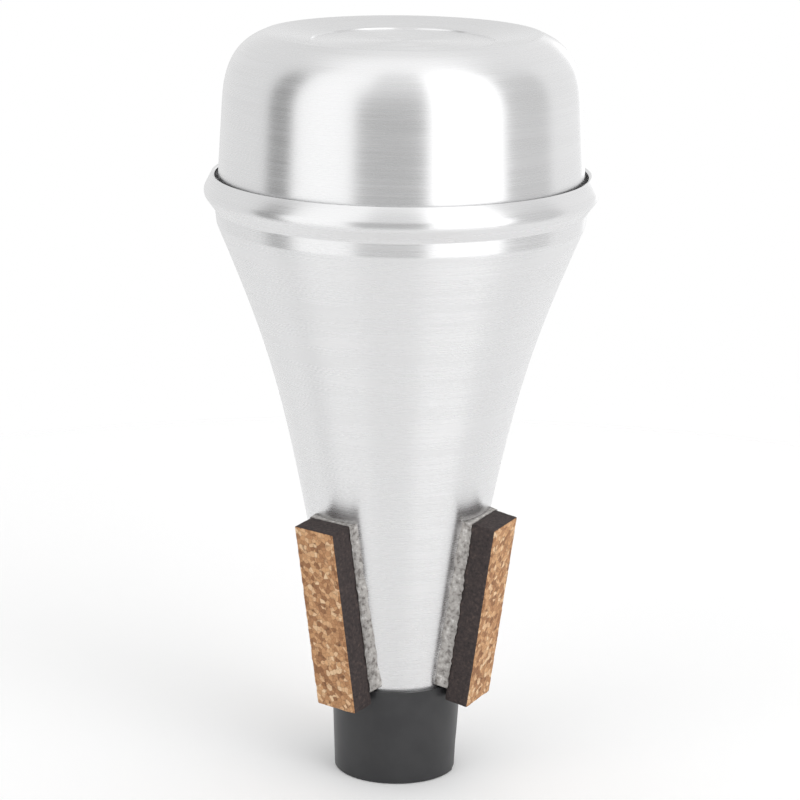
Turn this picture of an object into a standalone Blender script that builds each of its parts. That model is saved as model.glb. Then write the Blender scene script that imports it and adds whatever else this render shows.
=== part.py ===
"""Straight trumpet mute: a spun aluminium body, a domed end cap held in the body's rolled bead, a black
vinyl sleeve wound round the open neck, and three cork strips on beds of adhesive.

The origin is the centre of the open end. +Z points along the mute to the domed end cap, and an azimuth
is counted from -Y towards +X.
"""
import math

import bmesh
import bpy
from mathutils import Matrix, Vector

MM = 0.001

# Sheet, film and clearance
SHEET = 0.8 * MM                     # wall of both spun shells
FIT_GAP = 0.3 * MM                   # clearance between pieces that touch
TURN_STEPS = 60                      # facets round each spun shell

# Neck, the straight taper that the sleeve covers
NECK_LENGTH = 22.3 * MM
NECK_END_RADIUS = 13.2 * MM          # outside of the aluminium at the open end
NECK_TOP_RADIUS = 14.0 * MM          # outside of the aluminium where the flare begins

# Flare, the concave cone between the neck and the band
FLARE_TOP = 127.9 * MM
FLARE_TOP_RADIUS = 40.85 * MM
FLARE_TOP_SLOPE = 0.415              # growth of the radius for each unit of height
FLARE_FOOT_SLOPE = 0.175
FLARE_TOP_PULL = 32.0 * MM           # how long the curve keeps each end's direction
FLARE_FOOT_PULL = 65.0 * MM
FLARE_STEPS = 15

# Band, the near-cylinder between the flare and the bead
BAND_BOTTOM = 128.6 * MM
BAND_TOP = 131.8 * MM
BAND_TAPER = 0.12                    # growth of the radius for each unit of height
BAND_ROUNDING = 2.5 * MM             # radius of the turn from band to flare

# Bead, rolled out and back over the cap's flange
BEAD_PROUD = 2.85 * MM               # its sharp corner, before rounding, past the top of the band
BEAD_CREST = 135.6 * MM
BEAD_ROUNDING = 2.4 * MM
BEAD_FOOT_ROUNDING = 0.7 * MM
LIP_TOP = 139.75 * MM
LIP_GAP = 0.7 * MM                   # open slot between the rolled lip and the cap

# End cap
SKIRT_RADIUS = 40.8 * MM             # outside of the cap level with the lip
SKIRT_TAPER = 0.0585                 # loss of radius for each unit of height
SHOULDER_FOOT = 156.3 * MM           # where the straight skirt turns into the shoulder
SHOULDER_PULL = 11.5 * MM
RIDGE_RADIUS = 30.6 * MM             # the ring round the top
RIDGE_HEIGHT = 170.95 * MM
RIDGE_DROP = 0.45                    # fall of the shoulder for each unit of radius at the ridge
RIDGE_PULL = 3.0 * MM
SHOULDER_STEPS = 11
PANEL_RADIUS = 20.3 * MM             # the sunk round panel in the middle of the top
PANEL_HEIGHT = 169.0 * MM
PANEL_STEP = 0.35 * MM               # height of the sharp step round the panel
FLANGE_REACH = 0.9 * MM              # how far the cap's flange runs out past the top of the band
FLANGE_ROUNDING = 1.0 * MM

# Sleeve, one black film wound once round and over its own start
FILM = 0.35 * MM
SEAM_FOOT_AZIMUTH = math.radians(70.0)
SEAM_HEAD_AZIMUTH = math.radians(91.0)
SLEEVE_STEPS = 48
SLEEVE_ROWS = 5

# Cork strips
CORK_WIDTH = 11.6 * MM
CORK_LENGTH = 44.3 * MM
CORK_THICKNESS = 5.8 * MM
CORK_FOOT = 19.7 * MM                # height of a strip's lower end, at its inner face
CORK_EDGE = 0.3 * MM                 # softened edges
CORK_OVER_SLEEVE = 0.35 * MM         # clearance of a strip's lower end from the sleeve
BED_AT_HEAD = 0.35 * MM              # adhesive under the middle of a strip's upper end
BED_SQUEEZE = 0.7 * MM               # adhesive pressed out past the strip's edges
STRIPS = (                           # name, azimuth, twist in the strip's own plane
    ("left", math.radians(-41.0), math.radians(1.0)),
    ("right", math.radians(62.0), math.radians(2.4)),
    ("rear", math.radians(190.5), 0.0),
)

ARC_STEP = math.radians(14.0)        # largest turn between two points of a rounded corner
SHARP_ANGLE = math.radians(35.0)


def neck_radius(height):
    """Outside radius of the aluminium neck."""
    share = height / NECK_LENGTH
    return NECK_END_RADIUS + share * (NECK_TOP_RADIUS - NECK_END_RADIUS)


def bezier(start, start_pull, end_pull, end, steps):
    """Points of a cubic curve from start to end, both included."""
    points = []
    for step in range(steps + 1):
        t = step / steps
        s = 1.0 - t
        points.append(s**3 * start + 3 * s * s * t * start_pull + 3 * s * t * t * end_pull + t**3 * end)
    return points


def flare_outline():
    """Outer line of the flare, from the band down to the neck."""
    top = Vector((FLARE_TOP_RADIUS, FLARE_TOP))
    foot = Vector((NECK_TOP_RADIUS, NECK_LENGTH))
    top_pull = top - FLARE_TOP_PULL * Vector((FLARE_TOP_SLOPE, 1.0))
    foot_pull = foot + FLARE_FOOT_PULL * Vector((FLARE_FOOT_SLOPE, 1.0))
    return bezier(top, top_pull, foot_pull, foot, FLARE_STEPS)


def flare_radius(height):
    """Outside radius of the flare at a height, read between its outline's points."""
    outline = flare_outline()
    for upper, lower in zip(outline, outline[1:]):
        if lower.y <= height <= upper.y:
            share = (height - lower.y) / (upper.y - lower.y)
            return lower.x + share * (upper.x - lower.x)
    return neck_radius(height)


def filleted(corners):
    """Outline through corners (radius, height, rounding), each rounded by an arc."""
    path = [Vector(corners[0][:2])]
    for before, corner, after in zip(corners, corners[1:], corners[2:]):
        here = Vector(corner[:2])
        back = (Vector(before[:2]) - here).normalized()
        ahead = (Vector(after[:2]) - here).normalized()
        half_angle = back.angle(ahead) / 2.0
        rounding = corner[2]
        reach = rounding / math.tan(half_angle)
        centre = here + (back + ahead).normalized() * rounding / math.sin(half_angle)
        first = here + back * reach - centre
        turn = math.pi - 2.0 * half_angle
        if (first.x * ahead.y - first.y * ahead.x) < 0.0:
            turn = -turn
        steps = max(1, math.ceil(abs(turn) / ARC_STEP))
        for step in range(steps + 1):
            path.append(centre + Matrix.Rotation(turn * step / steps, 2) @ first)
    path.append(Vector(corners[-1][:2]))
    return path


def skirt_radius(height):
    """Outside radius of the cap's tapered skirt."""
    return SKIRT_RADIUS - (height - LIP_TOP) * SKIRT_TAPER


def band_top_radius():
    return FLARE_TOP_RADIUS + (BAND_BOTTOM - FLARE_TOP) * FLARE_TOP_SLOPE + (BAND_TOP - BAND_BOTTOM) * BAND_TAPER


def lip_corner():
    """Outer corner of the rolled lip: its inner corner clears the cap by LIP_GAP."""
    radius = skirt_radius(LIP_TOP) + LIP_GAP + SHEET
    return Vector((radius, LIP_TOP))


def bead_corner():
    """The bead's crest before it is rounded."""
    return Vector((band_top_radius() + BEAD_PROUD, BEAD_CREST))


def body_outline():
    """Outer line of the body, from the lip down to the open end."""
    lip = lip_corner()
    crest = bead_corner()
    band_top = Vector((band_top_radius(), BAND_TOP))
    band_bottom = Vector((band_top.x - (BAND_TOP - BAND_BOTTOM) * BAND_TAPER, BAND_BOTTOM))
    flare = flare_outline()
    rim = filleted((
        (lip.x, lip.y, 0.0),
        (crest.x, crest.y, BEAD_ROUNDING),
        (band_top.x, band_top.y, BEAD_FOOT_ROUNDING),
        (band_bottom.x, band_bottom.y, BAND_ROUNDING),
        (flare[1].x, flare[1].y, 0.0),
    ))
    return rim + flare[2:] + [Vector((NECK_END_RADIUS, 0.0))]


def flange_edge():
    """Upper outer corner of the cap's flange, which rests on the inside of the bead's lower leg."""
    band_top = Vector((band_top_radius(), BAND_TOP))
    leg = bead_corner() - band_top
    lean = math.atan2(leg.x, leg.y)
    inset = (SHEET + FIT_GAP) / math.cos(lean)
    radius = band_top.x + FLANGE_REACH
    underside = band_top.y + (radius + inset - band_top.x) / math.tan(lean)
    return Vector((radius, underside + SHEET))


def cap_outline():
    """Outer line of the end cap, from the middle of its top down to the flange's edge."""
    ridge = Vector((RIDGE_RADIUS, RIDGE_HEIGHT))
    shoulder_foot = Vector((skirt_radius(SHOULDER_FOOT), SHOULDER_FOOT))
    shoulder = bezier(
        ridge,
        ridge + RIDGE_PULL * Vector((1.0, -RIDGE_DROP)),
        shoulder_foot + SHOULDER_PULL * Vector((-SKIRT_TAPER, 1.0)),
        shoulder_foot,
        SHOULDER_STEPS,
    )
    edge = flange_edge()
    flange_root = Vector((skirt_radius(edge.y), edge.y))
    panel = [
        Vector((0.0, PANEL_HEIGHT)),
        Vector((PANEL_RADIUS - PANEL_STEP / 2.0, PANEL_HEIGHT)),
        Vector((PANEL_RADIUS, PANEL_HEIGHT + PANEL_STEP)),
    ]
    foot = filleted((
        (shoulder_foot.x, shoulder_foot.y, 0.0),
        (flange_root.x, flange_root.y, FLANGE_ROUNDING),
        (edge.x, edge.y, 0.0),
    ))
    return panel + shoulder + foot[1:]


def new_material(name, colour, roughness, metallic=0.0):
    material = bpy.data.materials.new(name)
    material.use_nodes = True
    shader = material.node_tree.nodes["Principled BSDF"]
    shader.inputs["Base Color"].default_value = (*colour, 1.0)
    shader.inputs["Roughness"].default_value = roughness
    shader.inputs["Metallic"].default_value = metallic
    return material


def new_object(name, mesh, collection, material=None):
    piece = bpy.data.objects.new(name, mesh)
    collection.objects.link(piece)
    if material:
        mesh.materials.append(material)
    return piece


def as_cutter(piece):
    piece.hide_render = True
    piece.display_type = "WIRE"
    return piece


def turned(name, outline, collection, material=None):
    """The outline turned about Z as an open surface that faces out."""
    mesh = bpy.data.meshes.new(name)
    points = [(point.x, 0.0, point.y) for point in outline]
    mesh.from_pydata(points, [(i, i + 1) for i in range(len(points) - 1)], [])
    piece = new_object(name, mesh, collection, material)
    screw = piece.modifiers.new("turn", "SCREW")
    screw.axis = "Z"
    screw.steps = TURN_STEPS
    screw.render_steps = TURN_STEPS
    screw.use_merge_vertices = True
    screw.merge_threshold = 0.00001
    return piece


def with_smooth_shading(piece):
    """Fix the modifiers' result as the piece's mesh and shade its round faces smooth."""
    evaluated = piece.evaluated_get(bpy.context.evaluated_depsgraph_get())
    mesh = bpy.data.meshes.new_from_object(evaluated)
    piece.modifiers.clear()
    piece.data = mesh
    mesh.name = piece.name
    mesh.shade_smooth()
    mesh.set_sharp_from_angle(angle=SHARP_ANGLE)
    return piece


def spun_shell(name, outline, collection, material):
    """A shell of sheet metal whose outer face follows the outline."""
    shell = turned(name, outline, collection, material)
    wall = shell.modifiers.new("sheet", "SOLIDIFY")
    wall.thickness = SHEET
    wall.offset = -1.0
    wall.use_even_offset = True
    return with_smooth_shading(shell)


def sleeve_radius(height, wound):
    """Outside of the wound film: wound is 0 at its inner end and 1 at the seam, one film higher."""
    return neck_radius(height) + FIT_GAP + FILM * (1.0 + wound)


def neck_sleeve(collection, material):
    """The film round the neck, lofted row by row, with a step of one film along its slanted seam."""
    mesh = bmesh.new()
    inner_rows = []
    outer_rows = []
    for row in range(SLEEVE_ROWS + 1):
        share = row / SLEEVE_ROWS
        height = share * NECK_LENGTH
        seam = SEAM_FOOT_AZIMUTH + share * (SEAM_HEAD_AZIMUTH - SEAM_FOOT_AZIMUTH)
        inner = []
        outer = []
        for step in range(SLEEVE_STEPS + 1):
            azimuth = seam + math.tau * step / SLEEVE_STEPS
            direction = Vector((math.sin(azimuth), -math.cos(azimuth), 0.0))
            level = Vector((0.0, 0.0, height))
            if step < SLEEVE_STEPS:
                inner.append(mesh.verts.new(direction * (neck_radius(height) + FIT_GAP) + level))
            outer.append(mesh.verts.new(direction * sleeve_radius(height, step / SLEEVE_STEPS) + level))
        inner_rows.append(inner)
        outer_rows.append(outer)
    for low, high in zip(range(SLEEVE_ROWS), range(1, SLEEVE_ROWS + 1)):
        for step in range(SLEEVE_STEPS):
            after = (step + 1) % SLEEVE_STEPS
            mesh.faces.new((outer_rows[low][step], outer_rows[low][step + 1],
                            outer_rows[high][step + 1], outer_rows[high][step]))
            mesh.faces.new((inner_rows[low][after], inner_rows[low][step],
                            inner_rows[high][step], inner_rows[high][after]))
        mesh.faces.new((outer_rows[low][-1], outer_rows[low][0], outer_rows[high][0], outer_rows[high][-1]))
    for row in (0, SLEEVE_ROWS):
        inner = inner_rows[row]
        outer = outer_rows[row]
        for step in range(SLEEVE_STEPS - 1):
            mesh.faces.new((inner[step], inner[step + 1], outer[step + 1], outer[step]))
        mesh.faces.new((inner[-1], inner[0], outer[0], outer[-1], outer[-2]))
    bmesh.ops.recalc_face_normals(mesh, faces=mesh.faces[:])
    data = bpy.data.meshes.new("neck_sleeve")
    mesh.to_mesh(data)
    mesh.free()
    data.shade_smooth()
    data.set_sharp_from_angle(angle=SHARP_ANGLE)
    return new_object("neck_sleeve", data, collection, material)


def box_mesh(name, low, high):
    """A box between two corners, with real size and no scale left on its object."""
    mesh = bmesh.new()
    bmesh.ops.create_cube(mesh, size=1.0)
    size = Vector(high) - Vector(low)
    middle = (Vector(high) + Vector(low)) / 2.0
    bmesh.ops.transform(mesh, matrix=Matrix.LocRotScale(middle, None, size), verts=mesh.verts[:])
    data = bpy.data.meshes.new(name)
    mesh.to_mesh(data)
    mesh.free()
    return data


def strip_seat():
    """Foot point, lean and head clearance of a strip's inner face, in the plane of radius and height."""
    foot = Vector((sleeve_radius(CORK_FOOT, 1.0) + CORK_OVER_SLEEVE, CORK_FOOT))
    head_height = CORK_FOOT + CORK_LENGTH * math.cos(math.atan(FLARE_FOOT_SLOPE))
    head = Vector((flare_radius(head_height) + BED_AT_HEAD + 2.0 * FIT_GAP, head_height))
    lean = math.atan2(head.x - foot.x, head.y - foot.y)
    return foot, lean


def flare_cutter(collection):
    """The flare's outside, grown by the clearance and filled to the axis."""
    outline = [Vector((point.x + FIT_GAP / math.cos(math.atan(FLARE_FOOT_SLOPE)), point.y))
               for point in flare_outline()]
    closed = [Vector((0.0, outline[0].y))] + outline + [Vector((0.0, outline[-1].y))]
    return as_cutter(turned("flare_cutter", closed, collection))


def cork_station(name, azimuth, twist, cutter, collection, cork, adhesive):
    """One cork strip and its adhesive bed, on an empty turned to the strip's azimuth."""
    station = bpy.data.objects.new("station_" + name, None)
    collection.objects.link(station)
    station.rotation_euler = (0.0, 0.0, azimuth)
    foot, lean = strip_seat()
    half_width = CORK_WIDTH / 2.0
    pose = (Matrix.Translation((0.0, -foot.x, foot.y)) @ Matrix.Rotation(lean, 4, "X")
            @ Matrix.Translation((0.0, 0.0, CORK_LENGTH / 2.0)) @ Matrix.Rotation(-twist, 4, "Y"))

    half_length = CORK_LENGTH / 2.0
    strip_data = box_mesh("cork_strip_" + name, (-half_width, -CORK_THICKNESS, -half_length),
                          (half_width, 0.0, half_length))
    strip = new_object("cork_strip_" + name, strip_data, collection, cork)
    edges = strip.modifiers.new("soft_edges", "BEVEL")
    edges.width = CORK_EDGE
    edges.segments = 2

    bed_foot = (NECK_LENGTH + FIT_GAP - foot.y) / math.cos(lean) - half_length + half_width * abs(math.sin(twist))
    bed_side = half_width + BED_SQUEEZE
    bed_data = box_mesh("cork_glue_" + name, (-bed_side, FIT_GAP, bed_foot + FIT_GAP),
                        (bed_side, FIT_GAP + half_width, half_length + BED_SQUEEZE))
    bed = new_object("cork_glue_" + name, bed_data, collection, adhesive)
    hollow = bed.modifiers.new("follow_flare", "BOOLEAN")
    hollow.operation = "DIFFERENCE"
    hollow.object = cutter

    for piece in (strip, bed):
        piece.parent = station
        piece.matrix_local = pose


def build():
    for leftover in list(bpy.data.objects):
        bpy.data.objects.remove(leftover, do_unlink=True)
    parts = bpy.data.collections.new("trumpet_mute")
    cutters = bpy.data.collections.new("cutters")
    for collection in (parts, cutters):
        bpy.context.scene.collection.children.link(collection)

    aluminium = new_material("brushed_aluminium", (0.83, 0.83, 0.84), 0.28, 1.0)
    vinyl = new_material("black_vinyl", (0.025, 0.025, 0.027), 0.38)
    cork = new_material("cork", (0.46, 0.26, 0.13), 0.85)
    adhesive = new_material("adhesive", (0.42, 0.40, 0.38), 0.25)

    spun_shell("body_shell", body_outline(), parts, aluminium)
    spun_shell("end_cap", cap_outline(), parts, aluminium)
    neck_sleeve(parts, vinyl)
    cutter = flare_cutter(cutters)
    for name, azimuth, twist in STRIPS:
        cork_station(name, azimuth, twist, cutter, parts, cork, adhesive)


build()
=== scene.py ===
"""The looks of a straight trumpet mute: brushed spun aluminium, a black vinyl sleeve and cork strips.

Sizes are in metres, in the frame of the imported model: the origin is the centre of the open end, +Z points
to the domed cap, and an azimuth is counted from -Y towards +X.
"""
import bisect
import math

import bmesh
import bpy
from mathutils import Matrix, Vector, noise


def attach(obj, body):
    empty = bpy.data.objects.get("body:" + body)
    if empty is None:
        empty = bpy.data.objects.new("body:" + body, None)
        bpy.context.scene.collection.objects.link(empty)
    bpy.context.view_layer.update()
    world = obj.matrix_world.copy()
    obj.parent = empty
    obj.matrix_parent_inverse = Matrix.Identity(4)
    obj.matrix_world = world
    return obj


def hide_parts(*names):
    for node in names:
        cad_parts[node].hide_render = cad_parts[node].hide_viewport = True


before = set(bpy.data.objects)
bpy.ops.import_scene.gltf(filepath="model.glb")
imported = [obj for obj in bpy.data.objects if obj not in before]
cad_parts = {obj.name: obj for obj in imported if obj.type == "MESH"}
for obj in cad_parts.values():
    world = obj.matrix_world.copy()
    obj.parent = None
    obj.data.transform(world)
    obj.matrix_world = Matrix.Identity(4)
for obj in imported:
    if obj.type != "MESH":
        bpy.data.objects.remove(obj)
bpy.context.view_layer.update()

MM = 0.001
BODY = "root"

# Sizes that part.py drives the solids with
SHEET = 0.8 * MM
FIT_GAP = 0.3 * MM
NECK_LENGTH = 22.3 * MM
NECK_END_RADIUS = 13.2 * MM
NECK_TOP_RADIUS = 14.0 * MM
FLARE_TOP = 127.9 * MM
FLARE_TOP_RADIUS = 40.85 * MM
FLARE_TOP_SLOPE = 0.415
FLARE_FOOT_SLOPE = 0.175
FLARE_TOP_PULL = 32.0 * MM
FLARE_FOOT_PULL = 65.0 * MM
BAND_BOTTOM = 128.6 * MM
BAND_TOP = 131.8 * MM
BAND_TAPER = 0.12
BAND_ROUNDING = 2.5 * MM
BEAD_PROUD = 2.85 * MM
BEAD_CREST = 135.6 * MM
BEAD_ROUNDING = 2.4 * MM
BEAD_FOOT_ROUNDING = 0.7 * MM
LIP_TOP = 139.75 * MM
LIP_GAP = 0.7 * MM
SKIRT_RADIUS = 40.8 * MM
SKIRT_TAPER = 0.0585
SHOULDER_FOOT = 156.3 * MM
SHOULDER_PULL = 11.5 * MM
RIDGE_RADIUS = 30.6 * MM
RIDGE_HEIGHT = 170.95 * MM
RIDGE_DROP = 0.45
RIDGE_PULL = 3.0 * MM
PANEL_RADIUS = 20.3 * MM
PANEL_HEIGHT = 169.0 * MM
PANEL_STEP = 0.35 * MM
FLANGE_REACH = 0.9 * MM
FLANGE_ROUNDING = 1.0 * MM
FILM = 0.35 * MM
SEAM_FOOT_AZIMUTH = math.radians(70.0)
SEAM_HEAD_AZIMUTH = math.radians(91.0)
CORK_WIDTH = 11.6 * MM
CORK_LENGTH = 44.3 * MM
CORK_THICKNESS = 5.8 * MM
CORK_FOOT = 19.7 * MM
CORK_OVER_SLEEVE = 0.35 * MM
BED_AT_HEAD = 0.35 * MM
STRIPS = (
    ("left", math.radians(-41.0), math.radians(1.0)),
    ("right", math.radians(62.0), math.radians(2.4)),
    ("rear", math.radians(190.5), 0.0),
)

# Fine forms that only the visible meshes have
RIDGE_ROUNDING = 1.2 * MM
PANEL_ROUNDING = 0.1 * MM
CUT_EDGE_ROUNDING = 0.12 * MM
CUT_EDGE_ANGLE = math.radians(60.0)
FILM_BACKING = 0.02 * MM

# Cork: how far its edges are worn, how deep it is pitted, and how many waves of each there are in a metre
CORK_WEAR = 0.35 * MM
CORK_WEAR_SPREAD = 0.8
CORK_WEAR_WAVES = 400.0
PIT_DEPTH = 0.06 * MM
PIT_SETBACK = 0.03 * MM
PIT_WAVES = 1400.0
HOLLOW_SHARE = 0.6
HOLLOW_WAVES = 520.0
FACE_NORMAL = -0.7
SEED_OFFSETS = (7.3, 3.1, 5.7)

# Adhesive squeezed out past a strip's sides
SQUEEZE = 0.55 * MM
SQUEEZE_SPREAD = 0.45 * MM
SQUEEZE_WAVES = 260.0
SWELL = 0.45 * MM
CRINKLE = 0.35 * MM
CRINKLE_WAVES_ACROSS = 900.0
CRINKLE_WAVES_ALONG = 1100.0
BED_OVER_SLEEVE = 0.6 * MM
BED_BEHIND_CORK = 0.02 * MM
BED_OFF_METAL = 0.02 * MM
BED_THINNEST = 0.05 * MM
BED_EDGE = 0.03 * MM

# Fineness of the visible meshes
TURN_STEPS = 192
CURVE_STEPS = 60
ARC_STEP = math.radians(5.0)
SHARP_ANGLE = math.radians(40.0)
MERGE_DISTANCE = 0.01 * MM
SLEEVE_STEPS = 180
SLEEVE_ROWS = 30
CORK_CELL = 0.4 * MM
BED_COLUMNS = 36
BED_ROWS = 110
SEARCH_STEPS = 6

# Points of the flare and of the shoulder at which the rounded stretches beside them end
FLARE_JOINT = 3
SHOULDER_JOINT = 4

# Brushed lines: changes in a metre along the outline, and round the axis
FINE_LINES = 5200.0
FINE_LINES_AROUND = 1.6
BROAD_LINES = 420.0
BROAD_LINES_AROUND = 0.9
GRANULES = 950.0

# Camera, at the photograph's viewing angle
CAMERA_DISTANCE = 0.640
CAMERA_HEIGHT = 0.25189
CAMERA_PITCH = 0.25161
CAMERA_YAW = 0.00036
CAMERA_ROLL = 0.01161
CAMERA_LENS = 130.971
CAMERA_CLIP = 0.01
SENSOR = 36.0

# Studio walls that the metal mirrors: the direction and half size of each card in degrees, the width over
# which its sides fade, half the width over which its top and foot fade, and its level. A later card lies
# over an earlier one.
CARDS = (
    ("right_wall", 132.0, 0.0, 34.0, 60.0, 30.0, 0.92),
    ("left_box", -48.0, 20.0, 25.0, 70.0, 8.0, 1.16),
    ("right_box", 43.0, 10.0, 26.0, 62.0, 8.0, 1.55),
    ("left_flag", -83.0, -5.0, 9.5, 45.0, 8.0, 0.36),
    ("front_flag", -7.0, -25.0, 22.0, 50.0, 10.0, 0.53),
    ("right_flag", 87.0, -10.0, 19.0, 46.0, 10.0, 0.68),
    ("far_lamp", 162.0, 0.0, 7.0, 12.0, 6.0, 1.4),
)
LEFT_WALL = 0.83
CEILING = 1.12
CEILING_START = 50.0
CEILING_FULL = 78.0
HALF_TURN = 180.0

# Floor and lamp
FLOOR_RADIUS = 0.6
FLOOR_STEPS = 96
FLOOR_DROP = 0.2 * MM
FLOOR_TONE = 0.92
FLOOR_FADE_START = 0.10
FLOOR_FADE_END = 0.42
LAMP_PLACE = Vector((0.7, -0.75, 0.6))
LAMP_AIM = Vector((0.0, 0.0, 0.08))
LAMP_SIZE = 0.5
LAMP_POWER = 1.2


def neck_radius(height):
    return NECK_END_RADIUS + height / NECK_LENGTH * (NECK_TOP_RADIUS - NECK_END_RADIUS)


def bezier(start, start_pull, end_pull, end):
    points = []
    for step in range(CURVE_STEPS + 1):
        t = step / CURVE_STEPS
        s = 1.0 - t
        points.append(s**3 * start + 3 * s * s * t * start_pull + 3 * s * t * t * end_pull + t**3 * end)
    return points


def flare_outline():
    top = Vector((FLARE_TOP_RADIUS, FLARE_TOP))
    foot = Vector((NECK_TOP_RADIUS, NECK_LENGTH))
    top_pull = top - FLARE_TOP_PULL * Vector((FLARE_TOP_SLOPE, 1.0))
    foot_pull = foot + FLARE_FOOT_PULL * Vector((FLARE_FOOT_SLOPE, 1.0))
    return bezier(top, top_pull, foot_pull, foot)


FLARE = flare_outline()
FLARE_RISING = FLARE[::-1]
FLARE_HEIGHTS = [point.y for point in FLARE_RISING]


def metal_radius(height):
    """Outside radius of the aluminium on the neck and the flare."""
    place = bisect.bisect(FLARE_HEIGHTS, height)
    if place == 0 or place == len(FLARE_HEIGHTS):
        return neck_radius(height)
    lower = FLARE_RISING[place - 1]
    upper = FLARE_RISING[place]
    return lower.x + (height - lower.y) / (upper.y - lower.y) * (upper.x - lower.x)


def filleted(corners):
    """Outline through corners (radius, height, rounding), each rounded by an arc."""
    path = [Vector(corners[0][:2])]
    for before, corner, after in zip(corners, corners[1:], corners[2:]):
        here = Vector(corner[:2])
        back = (Vector(before[:2]) - here).normalized()
        ahead = (Vector(after[:2]) - here).normalized()
        half_angle = back.angle(ahead) / 2.0
        reach = corner[2] / math.tan(half_angle)
        centre = here + (back + ahead).normalized() * corner[2] / math.sin(half_angle)
        first = here + back * reach - centre
        turn = math.pi - 2.0 * half_angle
        if (first.x * ahead.y - first.y * ahead.x) < 0.0:
            turn = -turn
        steps = max(1, math.ceil(abs(turn) / ARC_STEP))
        for step in range(steps + 1):
            path.append(centre + Matrix.Rotation(turn * step / steps, 2) @ first)
    path.append(Vector(corners[-1][:2]))
    return path


def skirt_radius(height):
    return SKIRT_RADIUS - (height - LIP_TOP) * SKIRT_TAPER


BAND_TOP_RADIUS = (FLARE_TOP_RADIUS + (BAND_BOTTOM - FLARE_TOP) * FLARE_TOP_SLOPE
                   + (BAND_TOP - BAND_BOTTOM) * BAND_TAPER)


def body_outline():
    lip = Vector((skirt_radius(LIP_TOP) + LIP_GAP + SHEET, LIP_TOP))
    crest = Vector((BAND_TOP_RADIUS + BEAD_PROUD, BEAD_CREST))
    band_bottom = Vector((BAND_TOP_RADIUS - (BAND_TOP - BAND_BOTTOM) * BAND_TAPER, BAND_BOTTOM))
    rim = filleted((
        (lip.x, lip.y, 0.0),
        (crest.x, crest.y, BEAD_ROUNDING),
        (BAND_TOP_RADIUS, BAND_TOP, BEAD_FOOT_ROUNDING),
        (band_bottom.x, band_bottom.y, BAND_ROUNDING),
        (FLARE[FLARE_JOINT].x, FLARE[FLARE_JOINT].y, 0.0),
    ))
    return rim + FLARE[FLARE_JOINT + 1:] + [Vector((NECK_END_RADIUS, 0.0))]


def flange_edge():
    leg = Vector((BEAD_PROUD, BEAD_CREST - BAND_TOP))
    lean = math.atan2(leg.x, leg.y)
    inset = (SHEET + FIT_GAP) / math.cos(lean)
    height = BAND_TOP + (FLANGE_REACH + inset) / math.tan(lean) + SHEET
    return Vector((BAND_TOP_RADIUS + FLANGE_REACH, height))


def cap_outline():
    ridge = Vector((RIDGE_RADIUS, RIDGE_HEIGHT))
    shoulder_foot = Vector((skirt_radius(SHOULDER_FOOT), SHOULDER_FOOT))
    shoulder = bezier(ridge, ridge + RIDGE_PULL * Vector((1.0, -RIDGE_DROP)),
                      shoulder_foot + SHOULDER_PULL * Vector((-SKIRT_TAPER, 1.0)), shoulder_foot)
    edge = flange_edge()
    crest = filleted((
        (0.0, PANEL_HEIGHT, 0.0),
        (PANEL_RADIUS - PANEL_STEP / 2.0, PANEL_HEIGHT, PANEL_ROUNDING),
        (PANEL_RADIUS, PANEL_HEIGHT + PANEL_STEP, PANEL_ROUNDING),
        (ridge.x, ridge.y, RIDGE_ROUNDING),
        (shoulder[SHOULDER_JOINT].x, shoulder[SHOULDER_JOINT].y, 0.0),
    ))
    foot = filleted((
        (shoulder_foot.x, shoulder_foot.y, 0.0),
        (skirt_radius(edge.y), edge.y, FLANGE_ROUNDING),
        (edge.x, edge.y, 0.0),
    ))
    return crest + shoulder[SHOULDER_JOINT + 1:] + foot[1:]


def new_piece(name, data, material, node):
    piece = bpy.data.objects.new(name, data)
    bpy.context.scene.collection.objects.link(piece)
    if material:
        data.materials.append(material)
    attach(piece, BODY)
    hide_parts(node)
    return piece


def spun_shell(name, outline, material, node):
    """Sheet turned about the axis, its outside on the outline and its cut edges rounded."""
    data = bpy.data.meshes.new(name)
    data.from_pydata([(point.x, 0.0, point.y) for point in outline],
                     [(i, i + 1) for i in range(len(outline) - 1)], [])
    piece = new_piece(name, data, material, node)
    screw = piece.modifiers.new("turn", "SCREW")
    screw.steps = TURN_STEPS
    screw.render_steps = TURN_STEPS
    screw.use_merge_vertices = True
    screw.merge_threshold = MERGE_DISTANCE
    wall = piece.modifiers.new("sheet", "SOLIDIFY")
    wall.thickness = SHEET
    wall.offset = -1.0
    wall.use_even_offset = True
    rim = piece.modifiers.new("cut_edge", "BEVEL")
    rim.width = CUT_EDGE_ROUNDING
    rim.segments = 2
    rim.limit_method = "ANGLE"
    rim.angle_limit = CUT_EDGE_ANGLE
    mesh = bpy.data.meshes.new_from_object(piece.evaluated_get(bpy.context.evaluated_depsgraph_get()))
    piece.modifiers.clear()
    piece.data = mesh
    mesh.shade_smooth()
    mesh.set_sharp_from_angle(angle=SHARP_ANGLE)


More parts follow.
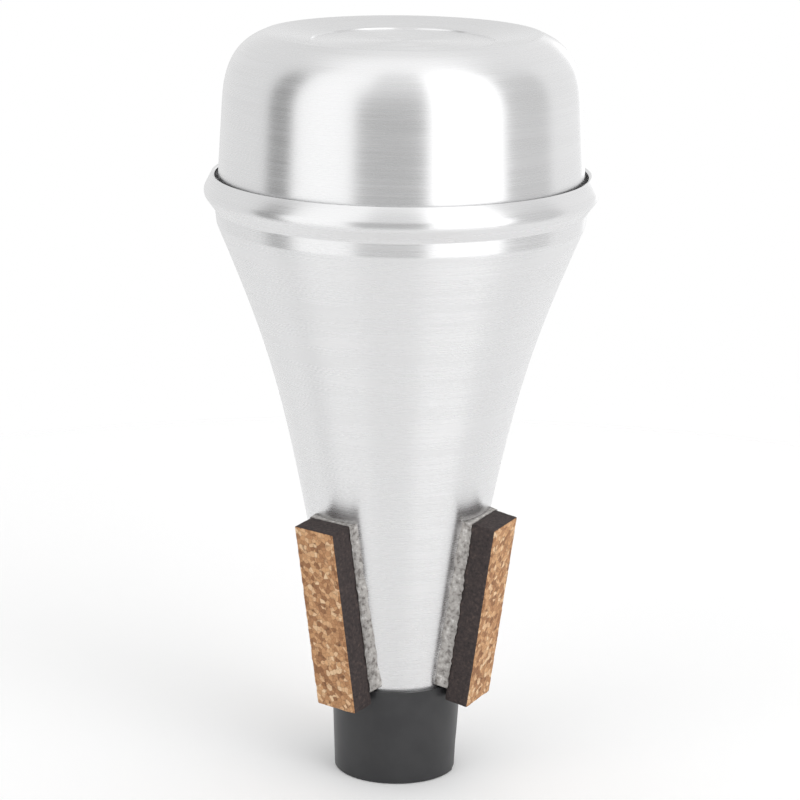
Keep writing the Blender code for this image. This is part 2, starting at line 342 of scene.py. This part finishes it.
class Nodes:
    """Short helper for building a material's or the world's node tree."""

    def __init__(self, tree):
        self.tree = tree

    def add(self, kind, **values):
        node = self.tree.nodes.new(kind)
        for key, value in values.items():
            setattr(node, key, value)
        return node

    def link(self, source, target):
        self.tree.links.new(source, target)

    def math(self, operation, first, second=None):
        node = self.add("ShaderNodeMath", operation=operation)
        for socket, value in zip(node.inputs, (first, second)):
            if value is None:
                continue
            if isinstance(value, (int, float)):
                socket.default_value = value
            else:
                self.link(value, socket)
        return node.outputs[0]

    def ramp(self, factor, stops, interpolation="EASE"):
        node = self.add("ShaderNodeValToRGB")
        node.color_ramp.interpolation = interpolation
        elements = node.color_ramp.elements
        while len(elements) > 1:
            elements.remove(elements[-1])
        for index, (position, colour) in enumerate(stops):
            element = elements[0] if index == 0 else elements.new(position)
            element.position = position
            if isinstance(colour, (int, float)):
                colour = (colour, colour, colour)
            element.color = (*colour, 1.0)
        self.link(factor, node.inputs[0])
        return node.outputs[0]

    def mix(self, factor, first, second, blend="MIX"):
        node = self.add("ShaderNodeMix", data_type="RGBA", blend_type=blend)
        for socket, value in ((node.inputs[0], factor), (node.inputs[6], first), (node.inputs[7], second)):
            if isinstance(value, (int, float)):
                socket.default_value = value if socket.type == "VALUE" else (value, value, value, 1.0)
            elif isinstance(value, tuple):
                socket.default_value = (*value, 1.0)
            else:
                self.link(value, socket)
        return node.outputs[2]

    def noise(self, vector, scale, detail, roughness):
        node = self.add("ShaderNodeTexNoise")
        node.inputs["Scale"].default_value = scale
        node.inputs["Detail"].default_value = detail
        node.inputs["Roughness"].default_value = roughness
        self.link(vector, node.inputs["Vector"])
        return node.outputs["Fac"]

    def voronoi(self, vector, scale, feature, output):
        node = self.add("ShaderNodeTexVoronoi", feature=feature)
        node.inputs["Scale"].default_value = scale
        self.link(vector, node.inputs["Vector"])
        return node.outputs[output]

    def object_place(self):
        return self.add("ShaderNodeTexCoord").outputs["Object"]

    def bump(self, shader, height, strength, depth):
        node = self.add("ShaderNodeBump")
        node.inputs["Strength"].default_value = strength
        node.inputs["Distance"].default_value = depth
        self.link(height, node.inputs["Height"])
        self.link(node.outputs[0], shader.inputs["Normal"])


def new_material(name):
    material = bpy.data.materials.new(name)
    material.use_nodes = True
    nodes = Nodes(material.node_tree)
    shader = material.node_tree.nodes["Principled BSDF"]
    return material, nodes, shader


def ring_coordinates(nodes, along, around):
    """Coordinates that change fast along a turned outline and slowly round the axis."""
    split = nodes.add("ShaderNodeSeparateXYZ")
    nodes.link(nodes.object_place(), split.inputs[0])
    flat = nodes.add("ShaderNodeCombineXYZ")
    nodes.link(split.outputs[0], flat.inputs[0])
    nodes.link(split.outputs[1], flat.inputs[1])
    length = nodes.add("ShaderNodeVectorMath", operation="LENGTH")
    nodes.link(flat.outputs[0], length.inputs[0])
    unit = nodes.add("ShaderNodeVectorMath", operation="NORMALIZE")
    nodes.link(flat.outputs[0], unit.inputs[0])
    turned = nodes.add("ShaderNodeVectorMath", operation="SCALE")
    nodes.link(unit.outputs[0], turned.inputs[0])
    turned.inputs["Scale"].default_value = around
    line = nodes.math("MULTIPLY", nodes.math("SUBTRACT", split.outputs[2], length.outputs["Value"]), along)
    lift = nodes.add("ShaderNodeCombineXYZ")
    nodes.link(line, lift.inputs[2])
    total = nodes.add("ShaderNodeVectorMath", operation="ADD")
    nodes.link(turned.outputs[0], total.inputs[0])
    nodes.link(lift.outputs[0], total.inputs[1])
    return total.outputs[0]


def brushed_aluminium(colour, roughness):
    """Spun aluminium with fine rings left by the tool."""
    material, nodes, shader = new_material("spun_aluminium")
    fine = nodes.noise(ring_coordinates(nodes, FINE_LINES, FINE_LINES_AROUND),
                       scale=1.0, detail=3.0, roughness=0.6)
    broad = nodes.noise(ring_coordinates(nodes, BROAD_LINES, BROAD_LINES_AROUND),
                        scale=1.0, detail=2.0, roughness=0.5)
    both = nodes.math("ADD", nodes.math("MULTIPLY", fine, 0.6), nodes.math("MULTIPLY", broad, 0.4))
    tone = nodes.ramp(both, ((0.30, tuple(0.93 * c for c in colour)), (0.70, colour)), "LINEAR")
    nodes.link(tone, shader.inputs["Base Color"])
    rough = nodes.add("ShaderNodeMapRange")
    rough.inputs["From Min"].default_value = 0.3
    rough.inputs["From Max"].default_value = 0.7
    rough.inputs["To Min"].default_value = roughness - 0.05
    rough.inputs["To Max"].default_value = roughness + 0.06
    nodes.link(both, rough.inputs["Value"])
    nodes.link(rough.outputs[0], shader.inputs["Roughness"])
    shader.inputs["Metallic"].default_value = 1.0
    shader.inputs["Anisotropic"].default_value = 0.75
    shader.inputs["Anisotropic Rotation"].default_value = 0.25
    tangent = nodes.add("ShaderNodeTangent", direction_type="RADIAL", axis="Z")
    nodes.link(tangent.outputs[0], shader.inputs["Tangent"])
    nodes.bump(shader, both, strength=0.12, depth=0.03 * MM)
    return material


def cork_face_material():
    """The tan outer face: granules of many browns, dark grains between them and pale flecks."""
    material, nodes, shader = new_material("cork_face")
    place = nodes.object_place()
    pick = nodes.add("ShaderNodeSeparateXYZ")
    nodes.link(nodes.voronoi(place, GRANULES, "F1", "Color"), pick.inputs[0])
    granule = nodes.ramp(pick.outputs[0], (
        (0.0, (0.30, 0.135, 0.055)),
        (0.3, (0.47, 0.235, 0.105)),
        (0.6, (0.60, 0.33, 0.155)),
        (0.85, (0.70, 0.42, 0.22)),
        (1.0, (0.80, 0.56, 0.34)),
    ), "LINEAR")
    mottle = nodes.noise(place, scale=700.0, detail=5.0, roughness=0.65)
    shade = nodes.ramp(mottle, (
        (0.30, (0.42, 0.36, 0.32)),
        (0.48, (1.0, 1.0, 1.0)),
        (0.75, (1.12, 1.1, 1.05)),
    ))
    tone = nodes.mix(0.85, granule, shade, "MULTIPLY")
    edge = nodes.voronoi(place, GRANULES, "DISTANCE_TO_EDGE", "Distance")
    crack = nodes.ramp(edge, ((0.0, (0.35, 0.28, 0.24)), (0.09, (1.0, 1.0, 1.0))), "LINEAR")
    tone = nodes.mix(0.5, tone, crack, "MULTIPLY")
    specks = nodes.noise(place, scale=2600.0, detail=3.0, roughness=0.7)
    dark = nodes.ramp(specks, ((0.30, 1.0), (0.40, 0.0)))
    tone = nodes.mix(dark, tone, (0.10, 0.045, 0.03))
    nodes.link(tone, shader.inputs["Base Color"])
    shader.inputs["Roughness"].default_value = 0.72
    nodes.bump(shader, mottle, strength=0.7, depth=0.18 * MM)
    return material


def cork_side_material():
    """The dark sawn sides, fine-grained with a few brown granules."""
    material, nodes, shader = new_material("cork_side")
    grain = nodes.noise(nodes.object_place(), scale=1500.0, detail=5.0, roughness=0.7)
    tone = nodes.ramp(grain, (
        (0.3, (0.012, 0.009, 0.009)),
        (0.5, (0.038, 0.027, 0.026)),
        (0.68, (0.075, 0.052, 0.046)),
        (0.8, (0.17, 0.10, 0.07)),
    ))
    nodes.link(tone, shader.inputs["Base Color"])
    shader.inputs["Roughness"].default_value = 0.75
    nodes.bump(shader, grain, strength=0.6, depth=0.2 * MM)
    return material


def vinyl_material():
    """Black film with a faint cloudiness and a fine grain."""
    material, nodes, shader = new_material("black_vinyl")
    place = nodes.object_place()
    cloud = nodes.noise(place, scale=160.0, detail=3.0, roughness=0.5)
    tone = nodes.ramp(cloud, ((0.3, (0.026, 0.026, 0.028)), (0.7, (0.034, 0.034, 0.036))))
    nodes.link(tone, shader.inputs["Base Color"])
    shader.inputs["Roughness"].default_value = 0.36
    grain = nodes.noise(place, scale=4000.0, detail=2.0, roughness=0.6)
    nodes.bump(shader, grain, strength=0.12, depth=0.04 * MM)
    return material


def adhesive_material():
    """Grey glossy adhesive with darker and paler clouds."""
    material, nodes, shader = new_material("dried_adhesive")
    cloud = nodes.noise(nodes.object_place(), scale=900.0, detail=4.0, roughness=0.6)
    tone = nodes.ramp(cloud, (
        (0.3, (0.16, 0.145, 0.135)),
        (0.55, (0.42, 0.40, 0.38)),
        (0.75, (0.74, 0.72, 0.70)),
    ))
    nodes.link(tone, shader.inputs["Base Color"])
    shader.inputs["Roughness"].default_value = 0.2
    nodes.bump(shader, cloud, strength=0.8, depth=0.2 * MM)
    return material


def sleeve_radius(height, wound):
    return neck_radius(height) + FIT_GAP + FILM * (1.0 + wound)


def neck_sleeve(material):
    """The black film wound once round the neck, its free edge standing a film high along the seam."""
    mesh = bmesh.new()
    inner_rows = []
    outer_rows = []
    for row in range(SLEEVE_ROWS + 1):
        share = row / SLEEVE_ROWS
        height = share * NECK_LENGTH
        seam = SEAM_FOOT_AZIMUTH + share * (SEAM_HEAD_AZIMUTH - SEAM_FOOT_AZIMUTH)
        level = Vector((0.0, 0.0, height))
        inner = []
        outer = []
        for step in range(SLEEVE_STEPS + 1):
            azimuth = seam + math.tau * step / SLEEVE_STEPS
            direction = Vector((math.sin(azimuth), -math.cos(azimuth), 0.0))
            if step < SLEEVE_STEPS:
                inner.append(mesh.verts.new(direction * (neck_radius(height) + FILM_BACKING) + level))
            outer.append(mesh.verts.new(direction * sleeve_radius(height, step / SLEEVE_STEPS) + level))
        inner_rows.append(inner)
        outer_rows.append(outer)
    for low, high in zip(range(SLEEVE_ROWS), range(1, SLEEVE_ROWS + 1)):
        for step in range(SLEEVE_STEPS):
            after = (step + 1) % SLEEVE_STEPS
            mesh.faces.new((outer_rows[low][step], outer_rows[low][step + 1],
                            outer_rows[high][step + 1], outer_rows[high][step]))
            mesh.faces.new((inner_rows[low][after], inner_rows[low][step],
                            inner_rows[high][step], inner_rows[high][after]))
        mesh.faces.new((outer_rows[low][-1], outer_rows[low][0], outer_rows[high][0], outer_rows[high][-1]))
    for row in (0, SLEEVE_ROWS):
        inner = inner_rows[row]
        outer = outer_rows[row]
        for step in range(SLEEVE_STEPS - 1):
            mesh.faces.new((inner[step], inner[step + 1], outer[step + 1], outer[step]))
        mesh.faces.new((inner[-1], inner[0], outer[0], outer[-1], outer[-2]))
    bmesh.ops.recalc_face_normals(mesh, faces=mesh.faces[:])
    data = bpy.data.meshes.new("sleeve_film")
    mesh.to_mesh(data)
    mesh.free()
    data.shade_smooth()
    data.set_sharp_from_angle(angle=SHARP_ANGLE)
    new_piece("sleeve_film", data, material, "neck_sleeve")


def lattice_box(half, cell):
    """A closed box about the origin whose six faces are grids of cells; returns a bmesh."""
    counts = [max(2, round(2.0 * h / cell)) for h in half]
    mesh = bmesh.new()
    verts = {}

    def vert(index):
        if index not in verts:
            place = [2.0 * h * i / n - h for h, i, n in zip(half, index, counts)]
            verts[index] = mesh.verts.new(place)
        return verts[index]

    for axis in range(3):
        first, second = [other for other in range(3) if other != axis]
        for side in (0, counts[axis]):
            for a in range(counts[first]):
                for b in range(counts[second]):
                    corners = []
                    for da, db in ((0, 0), (1, 0), (1, 1), (0, 1)):
                        index = [0, 0, 0]
                        index[axis] = side
                        index[first] = a + da
                        index[second] = b + db
                        corners.append(vert(tuple(index)))
                    mesh.faces.new(corners)
    bmesh.ops.recalc_face_normals(mesh, faces=mesh.faces[:])
    return mesh


def strip_pose(azimuth, twist):
    """Matrix of a strip: its local -Y faces out, +Z runs up the strip, and y = 0 is its inner face."""
    foot = Vector((sleeve_radius(CORK_FOOT, 1.0) + CORK_OVER_SLEEVE, CORK_FOOT))
    head_height = CORK_FOOT + CORK_LENGTH * math.cos(math.atan(FLARE_FOOT_SLOPE))
    head = Vector((metal_radius(head_height) + BED_AT_HEAD + 2.0 * FIT_GAP, head_height))
    lean = math.atan2(head.x - foot.x, head.y - foot.y)
    pose = (Matrix.Rotation(azimuth, 4, "Z") @ Matrix.Translation((0.0, -foot.x, foot.y))
            @ Matrix.Rotation(lean, 4, "X") @ Matrix.Translation((0.0, 0.0, CORK_LENGTH / 2.0))
            @ Matrix.Rotation(-twist, 4, "Y"))
    return pose, foot, lean


def cork_strip(name, pose, seed, face_material, side_material):
    """A cork block with worn edges and a pitted surface."""
    half = Vector((CORK_WIDTH / 2.0, CORK_THICKNESS / 2.0, CORK_LENGTH / 2.0))
    mesh = lattice_box(half, CORK_CELL)
    offset = Vector([seed * step for step in SEED_OFFSETS])
    mesh.normal_update()
    normals = {vert: vert.normal.copy() for vert in mesh.verts}
    for vert in mesh.verts:
        wear = CORK_WEAR * (1.0 + CORK_WEAR_SPREAD * noise.noise(vert.co * CORK_WEAR_WAVES + offset))
        core = Vector(max(-h + wear, min(h - wear, c)) for c, h in zip(vert.co, half))
        out = vert.co - core
        if out.length > wear:
            vert.co = core + out.normalized() * wear
        pits = noise.noise(vert.co * PIT_WAVES + offset)
        pits += HOLLOW_SHARE * noise.noise(vert.co * HOLLOW_WAVES - offset)
        vert.co += normals[vert] * (PIT_DEPTH * pits - PIT_SETBACK)
        vert.co.y -= half.y
    for face in mesh.faces:
        face.smooth = True
        face.material_index = 0 if face.normal.y < FACE_NORMAL else 1
    data = bpy.data.meshes.new("cork_" + name)
    mesh.to_mesh(data)
    mesh.free()
    data.materials.append(face_material)
    data.materials.append(side_material)
    piece = new_piece("cork_" + name, data, None, "cork_strip_" + name)
    piece.matrix_world = pose


def depth_to_metal(pose, x, z):
    """Local depth, along +Y from the strip's inner face, at which the flare is met."""
    depth = 0.0
    for _ in range(SEARCH_STEPS):
        place = pose @ Vector((x, depth, z))
        depth += place.xy.length - metal_radius(place.z)
    return depth


def bed_depth(x, z, squeeze, ground, seed):
    """Local depth of the adhesive's outer side: flat behind the cork, a crinkled swelling past its sides."""
    past = max(0.0, abs(x) - CORK_WIDTH / 2.0)
    lip = BED_BEHIND_CORK
    if past > 0.0:
        crinkle = noise.noise(Vector((x * CRINKLE_WAVES_ACROSS, z * CRINKLE_WAVES_ALONG, seed * 2.0)))
        lip = -(SWELL + CRINKLE * crinkle) * math.sin(min(1.0, past / squeeze) * math.pi)
    return min(lip, ground - BED_THINNEST)


def adhesive_bed(name, pose, foot, lean, seed, material):
    """Adhesive between strip and metal, squeezed out unevenly past the strip's sides."""
    low = (NECK_LENGTH + BED_OVER_SLEEVE - foot.y) / math.cos(lean) - CORK_LENGTH / 2.0
    high = CORK_LENGTH / 2.0
    mesh = bmesh.new()
    grid = []
    for row in range(BED_ROWS + 1):
        z = low + (high - low) * row / BED_ROWS
        line = []
        for column in range(BED_COLUMNS + 1):
            share = 2.0 * column / BED_COLUMNS - 1.0
            squeeze = SQUEEZE + SQUEEZE_SPREAD * noise.noise(Vector((share, z * SQUEEZE_WAVES, seed)))
            x = share * (CORK_WIDTH / 2.0 + squeeze)
            ground = depth_to_metal(pose, x, z) - BED_OFF_METAL
            top = bed_depth(x, z, squeeze, ground, seed)
            if column in (0, BED_COLUMNS):
                top = ground - BED_EDGE
            line.append((mesh.verts.new((x, top, z)), mesh.verts.new((x, ground, z))))
        grid.append(line)
    for below, above in zip(grid, grid[1:]):
        for left, right, left_up, right_up in zip(below, below[1:], above, above[1:]):
            mesh.faces.new((left[0], right[0], right_up[0], left_up[0]))
            mesh.faces.new((right[1], left[1], left_up[1], right_up[1]))
        for side in (0, -1):
            mesh.faces.new((below[side][0], below[side][1], above[side][1], above[side][0]))
    for line in (grid[0], grid[-1]):
        for left, right in zip(line, line[1:]):
            mesh.faces.new((left[0], right[0], right[1], left[1]))
    bmesh.ops.recalc_face_normals(mesh, faces=mesh.faces[:])
    data = bpy.data.meshes.new("adhesive_" + name)
    mesh.to_mesh(data)
    mesh.free()
    data.shade_smooth()
    piece = new_piece("adhesive_" + name, data, material, "cork_glue_" + name)
    piece.matrix_world = pose


def camera():
    data = bpy.data.cameras.new("camera")
    data.lens = CAMERA_LENS
    data.sensor_width = SENSOR
    data.clip_start = CAMERA_CLIP
    view = bpy.data.objects.new("camera", data)
    bpy.context.scene.collection.objects.link(view)
    view.matrix_world = (Matrix.Translation((0.0, -CAMERA_DISTANCE, CAMERA_HEIGHT))
                         @ Matrix.Rotation(-CAMERA_YAW, 4, "Z")
                         @ Matrix.Rotation(math.pi / 2.0 - CAMERA_PITCH, 4, "X")
                         @ Matrix.Rotation(CAMERA_ROLL, 4, "Z"))
    bpy.context.scene.camera = view


def degrees_from_centre(nodes, angle, centre, wrapped):
    offset = nodes.math("SUBTRACT", angle, centre)
    if wrapped:
        around = nodes.add("ShaderNodeMath", operation="WRAP")
        nodes.link(offset, around.inputs[0])
        around.inputs[1].default_value = HALF_TURN
        around.inputs[2].default_value = -HALF_TURN
        offset = around.outputs[0]
    return nodes.math("ABSOLUTE", offset)


def soft_step(nodes, value, start, end):
    """1 below start, 0 above end."""
    step = nodes.add("ShaderNodeMapRange", interpolation_type="SMOOTHSTEP")
    nodes.link(value, step.inputs["Value"])
    step.inputs["From Min"].default_value = start
    step.inputs["From Max"].default_value = end
    step.inputs["To Min"].default_value = 1.0
    step.inputs["To Max"].default_value = 0.0
    return step.outputs[0]


def card_mask(nodes, azimuth, elevation, card):
    _, middle, height, half_width, half_height, soft, _ = card
    across = degrees_from_centre(nodes, azimuth, middle, True)
    along = degrees_from_centre(nodes, elevation, height, False)
    return nodes.math("MULTIPLY",
                      soft_step(nodes, across, half_width - soft / 2.0, half_width + soft / 2.0),
                      soft_step(nodes, along, half_height - soft, half_height + soft))


def studio_world():
    """White to camera and transmission rays; all others meet pale walls with soft boxes and grey flags."""
    world = bpy.data.worlds.new("studio")
    bpy.context.scene.world = world
    world.use_nodes = True
    nodes = Nodes(world.node_tree)
    background = world.node_tree.nodes["Background"]
    split = nodes.add("ShaderNodeSeparateXYZ")
    nodes.link(nodes.add("ShaderNodeTexCoord").outputs["Generated"], split.inputs[0])
    towards_camera = nodes.math("MULTIPLY", split.outputs[1], -1.0)
    azimuth = nodes.math("DEGREES", nodes.math("ARCTAN2", split.outputs[0], towards_camera))
    elevation = nodes.math("DEGREES", nodes.math("ARCSINE", split.outputs[2]))
    level = LEFT_WALL
    for card in CARDS:
        level = nodes.mix(card_mask(nodes, azimuth, elevation, card), level, card[-1])
    level = nodes.mix(soft_step(nodes, elevation, CEILING_START, CEILING_FULL), CEILING, level)
    rays = nodes.add("ShaderNodeLightPath")
    seen = nodes.math("MAXIMUM", rays.outputs["Is Camera Ray"], rays.outputs["Is Transmission Ray"])
    nodes.link(nodes.mix(seen, level, 1.0), background.inputs["Color"])
    background.inputs["Strength"].default_value = 1.0


def floor_material():
    """White to the camera, a little darker to other rays, and see-through towards its edge."""
    material, nodes, shader = new_material("floor")
    rays = nodes.add("ShaderNodeLightPath")
    tone = nodes.mix(rays.outputs["Is Camera Ray"], (FLOOR_TONE, FLOOR_TONE, FLOOR_TONE), (1.0, 1.0, 1.0))
    nodes.link(tone, shader.inputs["Base Color"])
    shader.inputs["Roughness"].default_value = 0.9
    shader.inputs["Specular IOR Level"].default_value = 0.1
    reach = nodes.add("ShaderNodeVectorMath", operation="LENGTH")
    nodes.link(nodes.object_place(), reach.inputs[0])
    fade = nodes.ramp(reach.outputs["Value"], ((FLOOR_FADE_START, 1.0), (FLOOR_FADE_END, 0.0)))
    nodes.link(fade, shader.inputs["Alpha"])
    return material


def floor():
    """A round pale floor that fades into the white room."""
    data = bpy.data.meshes.new("floor")
    mesh = bmesh.new()
    bmesh.ops.create_circle(mesh, cap_ends=True, segments=FLOOR_STEPS, radius=FLOOR_RADIUS)
    bmesh.ops.translate(mesh, vec=(0.0, 0.0, -FLOOR_DROP), verts=mesh.verts[:])
    mesh.to_mesh(data)
    mesh.free()
    data.materials.append(floor_material())
    disc = bpy.data.objects.new("floor", data)
    bpy.context.scene.collection.objects.link(disc)


def lamp():
    """A soft lamp at the right front that the metal doesn't mirror."""
    data = bpy.data.lights.new("lamp_right", "AREA")
    data.shape = "DISK"
    data.size = LAMP_SIZE
    data.energy = LAMP_POWER
    light = bpy.data.objects.new("lamp_right", data)
    bpy.context.scene.collection.objects.link(light)
    light.location = LAMP_PLACE
    light.rotation_euler = (LAMP_AIM - LAMP_PLACE).to_track_quat("-Z", "Y").to_euler()
    light.visible_glossy = False


def main():
    bpy.context.scene.view_settings.view_transform = "Standard"
    camera()
    studio_world()
    floor()
    lamp()

    aluminium = brushed_aluminium(colour=(0.85, 0.85, 0.855), roughness=0.27)
    spun_shell("body_spun", body_outline(), aluminium, "body_shell")
    spun_shell("cap_spun", cap_outline(), aluminium, "end_cap")
    neck_sleeve(vinyl_material())
    face = cork_face_material()
    side = cork_side_material()
    adhesive = adhesive_material()
    for seed, (name, azimuth, twist) in enumerate(STRIPS, start=1):
        pose, foot, lean = strip_pose(azimuth, twist)
        cork_strip(name, pose, seed, face, side)
        adhesive_bed(name, pose, foot, lean, seed, adhesive)


main()
bpy.context.view_layer.update()
